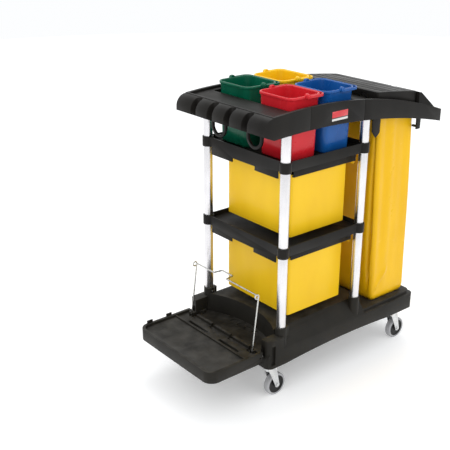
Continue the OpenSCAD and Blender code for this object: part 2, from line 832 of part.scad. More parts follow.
module bail_wire() {
    top = bail_z + bail_h;
    x1 = bail_x + bail_lean;
    color(zinc) {
        for (s = [-1, 1]) {
            bar([bail_x, s * (bail_y - 4), bail_z], [bail_x, s * (bail_y + 14), bail_z], wire_d);
            bar([bail_x, s * bail_y, bail_z], [x1, s * bail_y, top], wire_d);
            translate([x1 - 9, s * bail_y, top]) rotate([90, 0, 0]) rotate_extrude($fn = 36)
                translate([9, 0]) circle(d = wire_d, $fn = 16);
        }
        wire([[x1, bail_y, top], [x1, 80, top], [x1 + 38, 74, top], [x1 + 38, 6, top], [x1, 0, top],
            [x1, -bail_y, top]], wire_d);
    }
}

// ---- casters ----
module stem(x, s) {
    color(zinc) translate([x, s * caster_y, 0]) {
        translate([0, 0, base_z - 4]) cylinder(d = 50, h = 4);
        translate([0, 0, base_z - eps]) cylinder(d = stem_d, h = 41);
        translate([0, 0, base_z - 10]) cylinder(d = kingpin_d, h = 8);
        translate([0, 0, base_z - 13]) cylinder(d = 20, h = 4);
    }
}
// swivel fork with a domed head and two tapered legs
module fork(x, s) {
    z = wheel_d / 2;
    head = base_z - 4.4;
    y = wheel_w / 2 + fork_gap;
    color(zinc) translate([x, s * caster_y, 0]) difference() {
        union() {
            translate([0, 0, head - 16]) cylinder(d = 46, h = 16);
            for (k = [-1, 1]) scale([1, k, 1]) along_y(y, y + fork_t) difference() {
                union() {
                    translate([trail, z]) circle(d = 22);
                    polygon([[-21, head - 2], [21, head - 2], [trail + 11, z], [trail - 11, z]]);
                }
                translate([trail, z]) circle(d = axle_d + 0.2);
            }
        }
        translate([0, 0, head - 17]) cylinder(d = 30, h = 13);
        translate([0, 0, head - 20]) cylinder(d = kingpin_d + 2 * pin_clear, h = 30);
        translate([trail, 0, z]) rotate([90, 0, 0])
            cylinder(d = wheel_d + 5, h = wheel_w + 2 * fork_gap, center = true);
    }
}
module hub(x, s) {
    r = wheel_d / 2 - 10;
    w = wheel_w / 2;
    color(black) translate([x + trail, s * caster_y, wheel_d / 2]) rotate([90, 0, 0])
        rotate_extrude($fn = 96) polygon([[axle_d / 2 + pin_clear, -w - 1], [11, -w - 1], [13, -w + 4],
            [r - 6, -w + 4], [r - 3, -w + 1], [r, -w + 1], [r, w - 1], [r - 3, w - 1], [r - 6, w - 4],
            [13, w - 4], [11, w + 1], [axle_d / 2 + pin_clear, w + 1]]);
}
module tyre(x, s) {
    r = wheel_d / 2;
    w = wheel_w / 2;
    color(tread) translate([x + trail, s * caster_y, r]) rotate([90, 0, 0])
        rotate_extrude($fn = 96) polygon([[r - 10, -w + 1], [r - 4, -w], [r - 1, -w + 3], [r, -w + 6],
            [r, w - 6], [r - 1, w - 3], [r - 4, w], [r - 10, w - 1]]);
}
module axle(x, s) {
    y = wheel_w / 2 + fork_gap + fork_t;
    color(zinc) translate([x + trail, s * caster_y, wheel_d / 2]) rotate([90, 0, 0]) {
        cylinder(d = axle_d, h = 2 * y, center = true);
        for (k = [-1, 1]) translate([0, 0, k * (y + 2)]) cylinder(d = 14, h = 4, center = true, $fn = 6);
    }
}

base_deck();
lower_post(front_x, 1);  // lower_post_front_left
lower_post(front_x, -1);  // lower_post_front_right
lower_post(rear_x, 1);  // lower_post_rear_left
lower_post(rear_x, -1);  // lower_post_rear_right
middle_post(front_x, 1);  // middle_post_front_left
middle_post(front_x, -1);  // middle_post_front_right
middle_post(rear_x, 1);  // middle_post_rear_left
middle_post(rear_x, -1);  // middle_post_rear_right
upper_post(front_x, 1);  // upper_post_front_left
upper_post(front_x, -1);  // upper_post_front_right
upper_post(rear_x, 1);  // upper_post_rear_left
upper_post(rear_x, -1);  // upper_post_rear_right
post_screws();
lower_shelf();
upper_shelf();
lower_bin_runners();
upper_bin_runners();
lower_bin();
upper_bin();
hood();
tool_loops();
bag_hooks();
nameplate();
bag_lid();
lid_hinge_pin();
bag();
pail(pail_x[0], -pail_y, "#c81e2c");  // pail_red
pail(pail_x[1], -pail_y, "#14549e");  // pail_blue
pail(pail_x[0], pail_y, "#06603e");  // pail_green
pail(pail_x[1], pail_y, "#f5c423");  // pail_yellow
handle(pail_x[0], -pail_y, "#c81e2c");  // handle_red
handle(pail_x[1], -pail_y, "#14549e");  // handle_blue
handle(pail_x[0], pail_y, "#06603e");  // handle_green
handle(pail_x[1], pail_y, "#f5c423");  // handle_yellow
platform();
platform_hinge_pin();
bail_wire();
stem(front_caster_x, 1);  // stem_front_left
stem(front_caster_x, -1);  // stem_front_right
stem(rear_caster_x, 1);  // stem_rear_left
stem(rear_caster_x, -1);  // stem_rear_right
fork(front_caster_x, 1);  // fork_front_left
fork(front_caster_x, -1);  // fork_front_right
fork(rear_caster_x, 1);  // fork_rear_left
fork(rear_caster_x, -1);  // fork_rear_right
hub(front_caster_x, 1);  // hub_front_left
hub(front_caster_x, -1);  // hub_front_right
hub(rear_caster_x, 1);  // hub_rear_left
hub(rear_caster_x, -1);  // hub_rear_right
tyre(front_caster_x, 1);  // tyre_front_left
tyre(front_caster_x, -1);  // tyre_front_right
tyre(rear_caster_x, 1);  // tyre_rear_left
tyre(rear_caster_x, -1);  // tyre_rear_right
axle(front_caster_x, 1);  // axle_front_left
axle(front_caster_x, -1);  // axle_front_right
axle(rear_caster_x, 1);  // axle_rear_left
axle(rear_caster_x, -1);  // axle_rear_right
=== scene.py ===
"""Housekeeping cart: studio, finishes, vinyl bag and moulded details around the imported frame."""
import json
import math

import bmesh
import bpy
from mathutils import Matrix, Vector, noise


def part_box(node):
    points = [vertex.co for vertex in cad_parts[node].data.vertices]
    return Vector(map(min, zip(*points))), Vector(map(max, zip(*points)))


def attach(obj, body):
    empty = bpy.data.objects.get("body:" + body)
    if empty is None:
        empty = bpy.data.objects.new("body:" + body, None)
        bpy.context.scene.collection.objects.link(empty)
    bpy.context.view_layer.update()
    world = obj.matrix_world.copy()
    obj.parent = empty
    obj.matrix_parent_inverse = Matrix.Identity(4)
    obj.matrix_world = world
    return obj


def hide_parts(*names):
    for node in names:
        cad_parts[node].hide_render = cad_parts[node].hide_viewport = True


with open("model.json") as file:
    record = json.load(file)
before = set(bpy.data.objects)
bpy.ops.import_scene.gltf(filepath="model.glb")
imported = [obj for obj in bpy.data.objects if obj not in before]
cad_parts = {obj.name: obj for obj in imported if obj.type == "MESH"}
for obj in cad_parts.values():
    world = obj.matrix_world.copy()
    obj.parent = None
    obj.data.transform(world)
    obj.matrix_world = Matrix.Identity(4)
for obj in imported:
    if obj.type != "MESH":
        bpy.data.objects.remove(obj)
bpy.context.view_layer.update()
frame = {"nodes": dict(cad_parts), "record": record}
NODES = frame["nodes"]
MM = 0.001


# ---- studio ----
def add_camera():
    data = bpy.data.cameras.new("studio_camera")
    data.lens = 65.65
    data.sensor_width = 36
    camera = bpy.data.objects.new("studio_camera", data)
    camera.location = (-2.2159, -2.3081, 1.8913)
    camera.rotation_euler = (math.radians(67.955), 0, math.radians(-39.024))
    bpy.context.scene.collection.objects.link(camera)
    bpy.context.scene.camera = camera


def add_softbox(name, place, target, size, power):
    data = bpy.data.lights.new(name, "AREA")
    data.shape = "DISK"
    data.size = size
    data.energy = power
    lamp = bpy.data.objects.new(name, data)
    lamp.location = place
    lamp.rotation_euler = (Vector(target) - Vector(place)).to_track_quat("-Z", "Y").to_euler()
    bpy.context.scene.collection.objects.link(lamp)


def add_studio():
    world = bpy.data.worlds.new("studio")
    world.use_nodes = True
    backdrop = world.node_tree.nodes["Background"]
    backdrop.inputs["Color"].default_value = (0.98, 0.99, 1.0, 1)
    backdrop.inputs["Strength"].default_value = 1.0
    bpy.context.scene.world = world
    bpy.context.scene.view_settings.view_transform = "Standard"
    middle = (0, 0, 0.6)
    add_softbox("key_softbox", (-2.6, -1.6, 2.6), middle, 1.8, 14)
    add_softbox("side_softbox", (1.4, -3.0, 1.8), middle, 1.6, 7)
    add_softbox("top_softbox", (0.5, 0.6, 3.2), middle, 2.2, 22)


def add_floor():
    mesh = bpy.data.meshes.new("studio_floor")
    work = bmesh.new()
    bmesh.ops.create_circle(work, cap_ends=True, segments=96, radius=9)
    work.to_mesh(mesh)
    work.free()
    floor = bpy.data.objects.new("studio_floor", mesh)
    floor.location.z = -0.0005
    bpy.context.scene.collection.objects.link(floor)
    material, tree, shader = new_material("studio_floor")
    shader.inputs["Base Color"].default_value = (0.92, 0.92, 0.92, 1)
    shader.inputs["Emission Color"].default_value = (1, 1, 1, 1)
    shader.inputs["Emission Strength"].default_value = 0.24
    shader.inputs["Roughness"].default_value = 0.7
    shader.inputs["Specular IOR Level"].default_value = 0.2
    mesh.materials.append(material)


# ---- shader helpers ----
def new_material(name):
    material = bpy.data.materials.new(name)
    material.use_nodes = True
    return material, material.node_tree, material.node_tree.nodes["Principled BSDF"]


def add_node(tree, kind, settings=None, **sockets):
    """A node with its settings and, by name, the values or links of its sockets."""
    made = tree.nodes.new(kind)
    for key, value in (settings or {}).items():
        setattr(made, key, value)
    for key, value in sockets.items():
        feed(tree, made.inputs[key.replace("_", " ")], value)
    return made


def feed(tree, socket, value):
    if isinstance(value, bpy.types.NodeSocket):
        tree.links.new(value, socket)
    else:
        socket.default_value = value


def calc(tree, operation, first, second=0.0, clamp=False):
    made = add_node(tree, "ShaderNodeMath", {"operation": operation, "use_clamp": clamp})
    feed(tree, made.inputs[0], first)
    feed(tree, made.inputs[1], second)
    return made.outputs[0]


def remap(tree, value, low, high, to_low=0.0, to_high=1.0):
    made = add_node(tree, "ShaderNodeMapRange", None, Value=value, From_Min=low, From_Max=high,
                    To_Min=to_low, To_Max=to_high)
    return made.outputs["Result"]


def mix_colour(tree, factor, first, second):
    made = add_node(tree, "ShaderNodeMix", {"data_type": "RGBA"})
    feed(tree, made.inputs["Factor"], factor)
    feed(tree, made.inputs["A"], first)
    feed(tree, made.inputs["B"], second)
    return made.outputs["Result"]


def new_group(name, inputs, outputs):
    """A shader node group with number inputs and outputs."""
    tree = bpy.data.node_groups.new(name, "ShaderNodeTree")
    for label, value in inputs.items():
        socket = tree.interface.new_socket(label, in_out="INPUT", socket_type="NodeSocketFloat")
        socket.default_value = value
    for label in outputs:
        tree.interface.new_socket(label, in_out="OUTPUT", socket_type="NodeSocketFloat")
    return tree, tree.nodes.new("NodeGroupInput").outputs, tree.nodes.new("NodeGroupOutput").inputs


def use_group(tree, group, **values):
    made = add_node(tree, "ShaderNodeGroup", {"node_tree": group})
    for key, value in values.items():
        feed(tree, made.inputs[key], value)
    return made.outputs


def object_point(tree, stretch=(1, 1, 1)):
    place = tree.nodes.new("ShaderNodeTexCoord")
    made = add_node(tree, "ShaderNodeMapping", None, Vector=place.outputs["Object"], Scale=stretch)
    return made.outputs["Vector"]


# ---- shared effects ----
def make_mould_grain():
    """Spark-eroded texture of a mould: fine bumps with a few larger pits."""
    tree, given, result = new_group("mould_grain", {"Size": 900.0, "Pits": 0.4}, ["Height"])
    point = object_point(tree)
    fine = add_node(tree, "ShaderNodeTexNoise", None, Vector=point, Scale=given["Size"], Detail=3.0)
    cells = add_node(tree, "ShaderNodeTexVoronoi", {"feature": "SMOOTH_F1"}, Vector=point,
                     Scale=calc(tree, "MULTIPLY", given["Size"], 0.55))
    pitted = calc(tree, "MULTIPLY", cells.outputs["Distance"], given["Pits"])
    feed(tree, result["Height"], calc(tree, "ADD", fine.outputs[0], pitted))
    return tree


def make_edge_wear():
    """Mask of the outer edges, broken up so that only handled stretches are polished."""
    tree, given, result = new_group("edge_wear", {"Patch_Size": 14.0, "Amount": 1.0}, ["Mask"])
    rounded = add_node(tree, "ShaderNodeBevel", {"samples": 4}, Radius=0.0022)
    sharp = tree.nodes.new("ShaderNodeNewGeometry")
    facing = add_node(tree, "ShaderNodeVectorMath", {"operation": "DOT_PRODUCT"})
    feed(tree, facing.inputs[0], rounded.outputs["Normal"])
    feed(tree, facing.inputs[1], sharp.outputs["Normal"])
    edge = remap(tree, facing.outputs["Value"], 0.995, 0.86)
    patch = add_node(tree, "ShaderNodeTexNoise", None, Vector=object_point(tree),
                     Scale=given["Patch_Size"], Detail=4.0)
    broken = remap(tree, patch.outputs[0], 0.42, 0.66)
    worn = calc(tree, "MULTIPLY", edge, broken)
    feed(tree, result["Mask"], calc(tree, "MULTIPLY", worn, given["Amount"], clamp=True))
    return tree


def make_handling():
    """Soft smudges from hands and cloths, and fine straight scuffs."""
    tree, given, result = new_group("handling", {"Size": 5.0, "Scuffs": 1.0}, ["Smudge", "Scuff"])
    cloud = add_node(tree, "ShaderNodeTexNoise", None, Vector=object_point(tree),
                     Scale=given["Size"], Detail=5.0, Roughness=0.6)
    feed(tree, result["Smudge"], remap(tree, cloud.outputs[0], 0.35, 0.7))
    lines = add_node(tree, "ShaderNodeTexNoise", None, Vector=object_point(tree, (18, 260, 30)),
                     Scale=1.0, Detail=2.0)
    strokes = remap(tree, lines.outputs[0], 0.69, 0.74)
    feed(tree, result["Scuff"], calc(tree, "MULTIPLY", strokes, given["Scuffs"], clamp=True))
    return tree


def make_dust_and_sheen():
    """Mask of faces that look up, broken up by noise: dust, and a painted sheen where top light falls."""
    tree, given, result = new_group("settled_dust_and_sheen", {"Amount": 0.3}, ["Mask"])
    geometry = tree.nodes.new("ShaderNodeNewGeometry")
    split = add_node(tree, "ShaderNodeSeparateXYZ", None, Vector=geometry.outputs["Normal"])
    upward = remap(tree, split.outputs["Z"], 0.75, 1.0)
    cloud = add_node(tree, "ShaderNodeTexNoise", None, Vector=object_point(tree), Scale=22.0, Detail=6.0)
    spread = remap(tree, cloud.outputs[0], 0.3, 0.75)
    feed(tree, result["Mask"],
         calc(tree, "MULTIPLY", calc(tree, "MULTIPLY", upward, spread), given["Amount"], clamp=True))
    return tree


GRAIN = make_mould_grain()
WEAR = make_edge_wear()
HANDLING = make_handling()
DUST_AND_SHEEN = make_dust_and_sheen()


# ---- finishes ----
THREADS = 240.0


def rgb(r, g, b):
    return (r, g, b, 1)


def moulded_plastic(name, colour, light, roughness, grain_depth, dust_and_sheen=0.25, wear=0.5, coat=0.0,
                    grain_size=900.0, scatter=0.0, specular=0.5):
    """Injection moulded plastic with flow tone, mould grain, smudges, scuffs and polished edges."""
    material, tree, shader = new_material(name)
    marks = use_group(tree, HANDLING, Size=5.0, Scuffs=0.5)
    flow = add_node(tree, "ShaderNodeTexNoise", None, Vector=object_point(tree, (3, 3, 1)),
                    Scale=3.0, Detail=3.0)
    tone = mix_colour(tree, remap(tree, flow.outputs[0], 0.3, 0.7), colour, light)
    edge = use_group(tree, WEAR, Patch_Size=16.0, Amount=wear)["Mask"]
    pale = tuple(min(1.0, 1.4 * c + 0.012) for c in light[:3]) + (1,)
    tone = mix_colour(tree, edge, tone, pale)
    # Warm pale grey on upward faces: dust, and a painted sheen of top light on the dark plastic.
    tone = mix_colour(tree, use_group(tree, DUST_AND_SHEEN, Amount=dust_and_sheen)["Mask"], tone, rgb(0.20, 0.19, 0.17))
    feed(tree, shader.inputs["Base Color"], tone)
    gloss = calc(tree, "ADD", remap(tree, marks["Smudge"], 0, 1, roughness - 0.06, roughness + 0.08),
                 calc(tree, "MULTIPLY", marks["Scuff"], 0.12))
    feed(tree, shader.inputs["Roughness"], calc(tree, "SUBTRACT", gloss, calc(tree, "MULTIPLY", edge, 0.1)))
    grain = use_group(tree, GRAIN, Size=grain_size, Pits=0.5)["Height"]
    bump = add_node(tree, "ShaderNodeBump", None, Strength=0.35, Distance=grain_depth * MM, Height=grain)
    feed(tree, shader.inputs["Normal"], bump.outputs["Normal"])
    shader.inputs["Coat Weight"].default_value = coat
    shader.inputs["Coat Roughness"].default_value = 0.12
    shader.inputs["Specular IOR Level"].default_value = specular
    if scatter:
        shader.inputs["Subsurface Weight"].default_value = scatter
        shader.inputs["Subsurface Radius"].default_value = (0.004, 0.002, 0.001)
    return material


def coated_fabric(name):
    """Vinyl over a woven scrim: the weave shows faintly through a glossy skin with small creases."""
    material, tree, shader = new_material(name)
    cloud = add_node(tree, "ShaderNodeTexNoise", None, Vector=object_point(tree, (1, 1, 0.35)),
                     Scale=7.0, Detail=4.0)
    tone = mix_colour(tree, remap(tree, cloud.outputs[0], 0.3, 0.72),
                      rgb(0.76, 0.42, 0.003), rgb(0.85, 0.50, 0.006))
    marks = use_group(tree, HANDLING, Size=7.0, Scuffs=0.4)
    tone = mix_colour(tree, calc(tree, "MULTIPLY", marks["Scuff"], 0.25), tone, rgb(0.95, 0.74, 0.25))
    feed(tree, shader.inputs["Base Color"], tone)
    feed(tree, shader.inputs["Roughness"], remap(tree, marks["Smudge"], 0, 1, 0.27, 0.4))
    weave_u = add_node(tree, "ShaderNodeTexWave", {"bands_direction": "Z"},
                       Vector=object_point(tree), Scale=THREADS)
    weave_v = add_node(tree, "ShaderNodeTexWave", {"bands_direction": "DIAGONAL"},
                       Vector=object_point(tree, (1, 1, 0)), Scale=THREADS)
    weave = calc(tree, "MULTIPLY", weave_u.outputs["Fac"], weave_v.outputs["Fac"])
    crease = add_node(tree, "ShaderNodeTexNoise", None, Vector=object_point(tree, (1, 1, 0.5)),
                      Scale=38.0, Detail=4.0, Distortion=1.2)
    fine = add_node(tree, "ShaderNodeBump", None, Strength=0.22, Distance=0.0003, Height=weave)
    wide = add_node(tree, "ShaderNodeBump", None, Strength=0.3, Distance=0.002, Height=crease.outputs[0],
                    Normal=fine.outputs["Normal"])
    feed(tree, shader.inputs["Normal"], wide.outputs["Normal"])
    shader.inputs["Specular IOR Level"].default_value = 0.16
    shader.inputs["Coat Weight"].default_value = 0.09
    shader.inputs["Coat Roughness"].default_value = 0.14
    return material


def drawn_tube(name):
    """Bright drawn aluminium: fine die lines along the tube and a faint oxide bloom."""
    material, tree, shader = new_material(name)
    lines = add_node(tree, "ShaderNodeTexNoise", None, Vector=object_point(tree, (700, 700, 3)),
                     Scale=1.0, Detail=3.0)
    bloom = use_group(tree, HANDLING, Size=9.0, Scuffs=0.3)
    tone = mix_colour(tree, bloom["Smudge"], rgb(0.80, 0.79, 0.80), rgb(0.70, 0.69, 0.71))
    feed(tree, shader.inputs["Base Color"], tone)
    feed(tree, shader.inputs["Roughness"], remap(tree, lines.outputs[0], 0.3, 0.7, 0.2, 0.34))
    bump = add_node(tree, "ShaderNodeBump", None, Strength=0.25, Distance=0.0001, Height=lines.outputs[0])
    feed(tree, shader.inputs["Normal"], bump.outputs["Normal"])
    shader.inputs["Metallic"].default_value = 1.0
    return material


def plated_steel(name, dark, light, roughness, spangle):
    """Zinc or chrome plate: crystal spangle, thin haze and fine scuffs."""
    material, tree, shader = new_material(name)
    cells = add_node(tree, "ShaderNodeTexVoronoi", None, Vector=object_point(tree), Scale=spangle)
    grey = add_node(tree, "ShaderNodeSeparateColor", None, Color=cells.outputs["Color"])
    marks = use_group(tree, HANDLING, Size=40.0, Scuffs=0.6)
    tone = mix_colour(tree, grey.outputs[0], dark, light)
    tone = mix_colour(tree, calc(tree, "MULTIPLY", marks["Smudge"], 0.35), tone, rgb(0.5, 0.48, 0.44))
    feed(tree, shader.inputs["Base Color"], tone)
    feed(tree, shader.inputs["Roughness"],
         calc(tree, "ADD", remap(tree, grey.outputs[0], 0, 1, roughness, roughness + 0.1),
              calc(tree, "MULTIPLY", marks["Scuff"], 0.15)))
    grain = use_group(tree, GRAIN, Size=1500.0, Pits=0.2)["Height"]
    bump = add_node(tree, "ShaderNodeBump", None, Strength=0.1, Distance=0.0001, Height=grain)
    feed(tree, shader.inputs["Normal"], bump.outputs["Normal"])
    shader.inputs["Metallic"].default_value = 1.0
    return material


def enamel_plate(name, split_z):
    """Blank red enamel plate over a bare pale strip."""
    material, tree, shader = new_material(name)
    place = tree.nodes.new("ShaderNodeTexCoord")
    height = add_node(tree, "ShaderNodeSeparateXYZ", None, Vector=place.outputs["Object"])
    upper = remap(tree, height.outputs["Z"], split_z - 0.0004, split_z + 0.0004)
    gap = remap(tree, height.outputs["Z"], split_z - 0.0044, split_z - 0.0036)
    marks = use_group(tree, HANDLING, Size=30.0, Scuffs=0.5)
    red = mix_colour(tree, marks["Smudge"], rgb(0.55, 0.012, 0.02), rgb(0.66, 0.02, 0.03))
    strip = mix_colour(tree, gap, rgb(0.62, 0.62, 0.6), rgb(0.012, 0.012, 0.012))
    feed(tree, shader.inputs["Base Color"], mix_colour(tree, upper, strip, red))
    feed(tree, shader.inputs["Roughness"], remap(tree, marks["Smudge"], 0, 1, 0.2, 0.32))
    grain = use_group(tree, GRAIN, Size=1800.0, Pits=0.2)["Height"]
    bump = add_node(tree, "ShaderNodeBump", None, Strength=0.1, Distance=0.0001, Height=grain)
    feed(tree, shader.inputs["Normal"], bump.outputs["Normal"])
    shader.inputs["Coat Weight"].default_value = 0.5
    return material


def make_finishes():
    plate_low, plate_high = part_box("nameplate")
    strip_z = plate_low.z + 0.34 * (plate_high.z - plate_low.z)
    bright = dict(grain_depth=0.10, dust_and_sheen=0.0, wear=0.25, coat=0.10, grain_size=500.0, scatter=0.05,
                  specular=0.22)
    finishes = {
        "tube": drawn_tube("tube"),
        "zinc": plated_steel("zinc", rgb(0.66, 0.67, 0.68), rgb(0.76, 0.77, 0.78), 0.26, 160.0),
        "bail_chrome": plated_steel("bail_chrome", rgb(0.52, 0.52, 0.50), rgb(0.62, 0.62, 0.60), 0.22, 90.0),
        "wheel_core": moulded_plastic("wheel_core", rgb(0.006, 0.006, 0.006), rgb(0.012, 0.012, 0.012),
                                      0.42, 0.1, dust_and_sheen=0.05, wear=0.2, specular=0.25),
        "tread": moulded_plastic("tread", rgb(0.30, 0.30, 0.31), rgb(0.42, 0.42, 0.43),
                                 0.55, 0.25, wear=0.2),
        "bag_vinyl": coated_fabric("bag_vinyl"),
        "blank_plate": enamel_plate("blank_plate", strip_z),
        "deck_plastic": moulded_plastic("deck_plastic", rgb(0.010, 0.009, 0.007), rgb(0.018, 0.016, 0.012),
                                        0.44, 0.3, dust_and_sheen=0.2, grain_size=700.0, specular=0.16),
        "black_plastic": moulded_plastic("black_plastic", rgb(0.008, 0.0075, 0.007),
                                         rgb(0.015, 0.0135, 0.0115), 0.42, 0.28, dust_and_sheen=0.04,
                                         grain_size=700.0, specular=0.13),
    }
    tints = (("bin_yellow", (0.85, 0.51, 0.006), (0.91, 0.57, 0.010), 0.42),
             ("pail_red", (0.56, 0.012, 0.02), (0.68, 0.02, 0.03), 0.26),
             ("pail_blue", (0.005, 0.075, 0.29), (0.01, 0.11, 0.38), 0.26),
             ("pail_green", (0.0, 0.085, 0.042), (0.004, 0.125, 0.068), 0.26),
             ("pail_yellow", (0.84, 0.50, 0.006), (0.92, 0.57, 0.010), 0.30))
    for name, colour, light, roughness in tints:
        finishes[name] = moulded_plastic(name, rgb(*colour), rgb(*light), roughness, **bright)
    return finishes


FINISH = make_finishes()


# ---- mesh helpers ----
def make_smoothing():
    """Geometry nodes that shade smooth except over creases, with no stored normals."""
    tree = bpy.data.node_groups.new("smooth_by_angle", "GeometryNodeTree")
    tree.interface.new_socket("Geometry", in_out="INPUT", socket_type="NodeSocketGeometry")
    tree.interface.new_socket("Geometry", in_out="OUTPUT", socket_type="NodeSocketGeometry")
    start = tree.nodes.new("NodeGroupInput").outputs["Geometry"]
    clean = add_node(tree, "GeometryNodeRemoveAttribute", None, Geometry=start, Name="custom_normal")
    smooth = add_node(tree, "GeometryNodeSetShadeSmooth", {"domain": "FACE"}, Geometry=clean.outputs[0])
    angle = tree.nodes.new("GeometryNodeInputMeshEdgeAngle")
    flat = add_node(tree, "FunctionNodeCompare", {"operation": "LESS_THAN"})
    feed(tree, flat.inputs[0], angle.outputs["Unsigned Angle"])
    feed(tree, flat.inputs[1], math.radians(38))
    edges = add_node(tree, "GeometryNodeSetShadeSmooth", {"domain": "EDGE"}, Geometry=smooth.outputs[0])
    feed(tree, edges.inputs["Shade Smooth"], flat.outputs["Result"])
    end = tree.nodes.new("NodeGroupOutput")
    feed(tree, end.inputs["Geometry"], edges.outputs[0])
    return tree


SMOOTHING = make_smoothing()


def shade_by_angle(obj):
    obj.modifiers.new("shading", "NODES").node_group = SMOOTHING


def soften_edges(obj, radius, segments=2):
    """Mould radii on every sharp edge of a frame part."""
    weld = obj.modifiers.new("weld", "WELD")
    weld.merge_threshold = 0.00002
    flats = obj.modifiers.new("flats", "DECIMATE")
    flats.decimate_type = "DISSOLVE"
    flats.angle_limit = math.radians(0.6)
    edge = obj.modifiers.new("edge_radius", "BEVEL")
    edge.width = radius
    edge.segments = segments
    edge.limit_method = "ANGLE"
    edge.angle_limit = math.radians(40)
    edge.miter_outer = "MITER_ARC"
    edge.use_clamp_overlap = True
    shade_by_angle(obj)


def mesh_piece(name, verts, faces, slot, body):
    mesh = bpy.data.meshes.new(name)
    mesh.from_pydata(verts, [], faces)
    mesh.validate()
    mesh.materials.append(FINISH[slot])
    obj = bpy.data.objects.new(name, mesh)
    bpy.context.scene.collection.objects.link(obj)
    work = bmesh.new()
    work.from_mesh(mesh)
    bmesh.ops.recalc_face_normals(work, faces=work.faces)
    work.to_mesh(mesh)
    work.free()
    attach(obj, body)
    return obj


def rounded_loop(half_x, half_y, radius, steps=8):
    """Points of a rectangle with round corners, anticlockwise."""
    points = []
    for quarter, (sx, sy) in enumerate(((1, 1), (-1, 1), (-1, -1), (1, -1))):
        for i in range(steps + 1):
            a = math.radians(90) * (quarter + i / steps)
            points.append((sx * (half_x - radius) + radius * math.cos(a),
                           sy * (half_y - radius) + radius * math.sin(a)))
    return points


def loft(rings, cap_start=True, cap_end=True):
    """Vertices and faces of a skin over rings that have the same number of points."""
    count = len(rings[0])
    verts = [point for ring in rings for point in ring]
    faces = []
    for r in range(len(rings) - 1):
        for i in range(count):
            j = (i + 1) % count
            faces.append((r * count + i, r * count + j, (r + 1) * count + j, (r + 1) * count + i))
    if cap_start:
        faces.append(tuple(reversed(range(count))))
    if cap_end:
        faces.append(tuple(range((len(rings) - 1) * count, len(rings) * count)))
    return verts, faces


def quarter_turn(start, end, steps, bulge):
    """Offsets and heights that turn a corner from start to end; bulge says which way it rounds."""
    points = []
    for i in range(steps + 1):
        a = math.radians(90) * i / steps
        u, v = (math.sin(a), 1 - math.cos(a)) if bulge else (1 - math.cos(a), math.sin(a))
        points.append((start[0] + (end[0] - start[0]) * u, start[1] + (end[1] - start[1]) * v))
    return points


# ---- pails ----
def pail_profile(height, draft, wall, rim):
    """Inset from the rim's outer edge and height, from under the foot round to the inside floor."""
    foot = rim + draft
    line = quarter_turn((foot + 7, 0), (foot, 7), 4, True)
    line += [(foot - draft * 0.5, height * 0.5), (rim + 0.3, height - 14)]
    line += quarter_turn((rim, height - 12), (0.4, height - 9.5), 2, False)
    line += [(0, height - 8), (0, height - 3.5)]
    line += quarter_turn((0, height - 3.5), (3, height), 3, False)
    line += quarter_turn((rim + wall - 2.5, height), (rim + wall, height - 3), 3, True)
    line += [(rim + wall + draft * 0.5, height * 0.5)]
    line += quarter_turn((foot + wall, 9), (foot + wall + 7, wall), 4, False)
    return line


def make_pail(colour):
    node = "pail_" + colour
    low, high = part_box(node)
    rim_x = (high.x - low.x) / 2
    middle = Vector(((low.x + high.x) / 2, (low.y + high.y) / 2, low.z))
    rim_y = 95 * MM
    height = 244 * MM
    rings = []
    for inset, z in pail_profile(height / MM, draft=7, wall=2.5, rim=5):
        corner = max(6, 35 - inset) * MM
        loop = rounded_loop(rim_x - inset * MM, rim_y - inset * MM, corner, 10)
        rings.append([(middle.x + x, middle.y + y, middle.z + z * MM) for x, y in loop])
    verts, faces = loft(rings)
    pail = mesh_piece("moulded_pail_" + colour, verts, faces, node, node)
    shade_by_angle(pail)
    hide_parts(node)
    for side in (-1, 1):
        add_pail_ear(colour, side, middle + Vector((0, side * rim_y, height - 2 * MM)))


def lathe_y(profile, centre, side, count=28):
    """Rings about a Y axis: profile lists (distance along the axis, radius) in millimetres."""
    rings = []
    for along, radius in profile:
        ring = []
        for i in range(count):
            a = 2 * math.pi * i / count
            ring.append((centre.x + radius * MM * math.cos(a), centre.y + side * along * MM,
                         centre.z + radius * MM * math.sin(a)))
        rings.append(ring)
    return rings


def add_pail_ear(colour, side, centre):
    node = "pail_" + colour
    profile = [(-6, 9), (-6, 10.2), (-5, 11), (2.6, 11), (3.6, 10.4), (4, 9.2), (4, 4.4), (4.4, 3.95),
               (10.8, 3.95), (11.6, 3.4), (12, 2.2)]
    name = "pail_ear_{}_{}".format(colour, "left" if side > 0 else "right")
    verts, faces = loft(lathe_y(profile, centre, side))
    shade_by_angle(mesh_piece(name, verts, faces, node, node))


def strap_path(reach, arm, corner, steps=6):
    """Plan of a strap handle from one pivot round the rim to the other, as points and headings."""
    points = [(0, -arm, 0), (reach * 0.45, -arm, 0)]
    for i in range(steps + 1):
        a = math.radians(90) * i / steps
        points.append((reach - corner + corner * math.sin(a), -arm + corner - corner * math.cos(a), a))
    for i in range(steps + 1):
        a = math.radians(90) * (1 + i / steps)
        points.append((reach - corner + corner * math.sin(a), arm - corner - corner * math.cos(a), a))
    points += [(reach * 0.45, arm, math.pi), (0, arm, math.pi)]
    return points


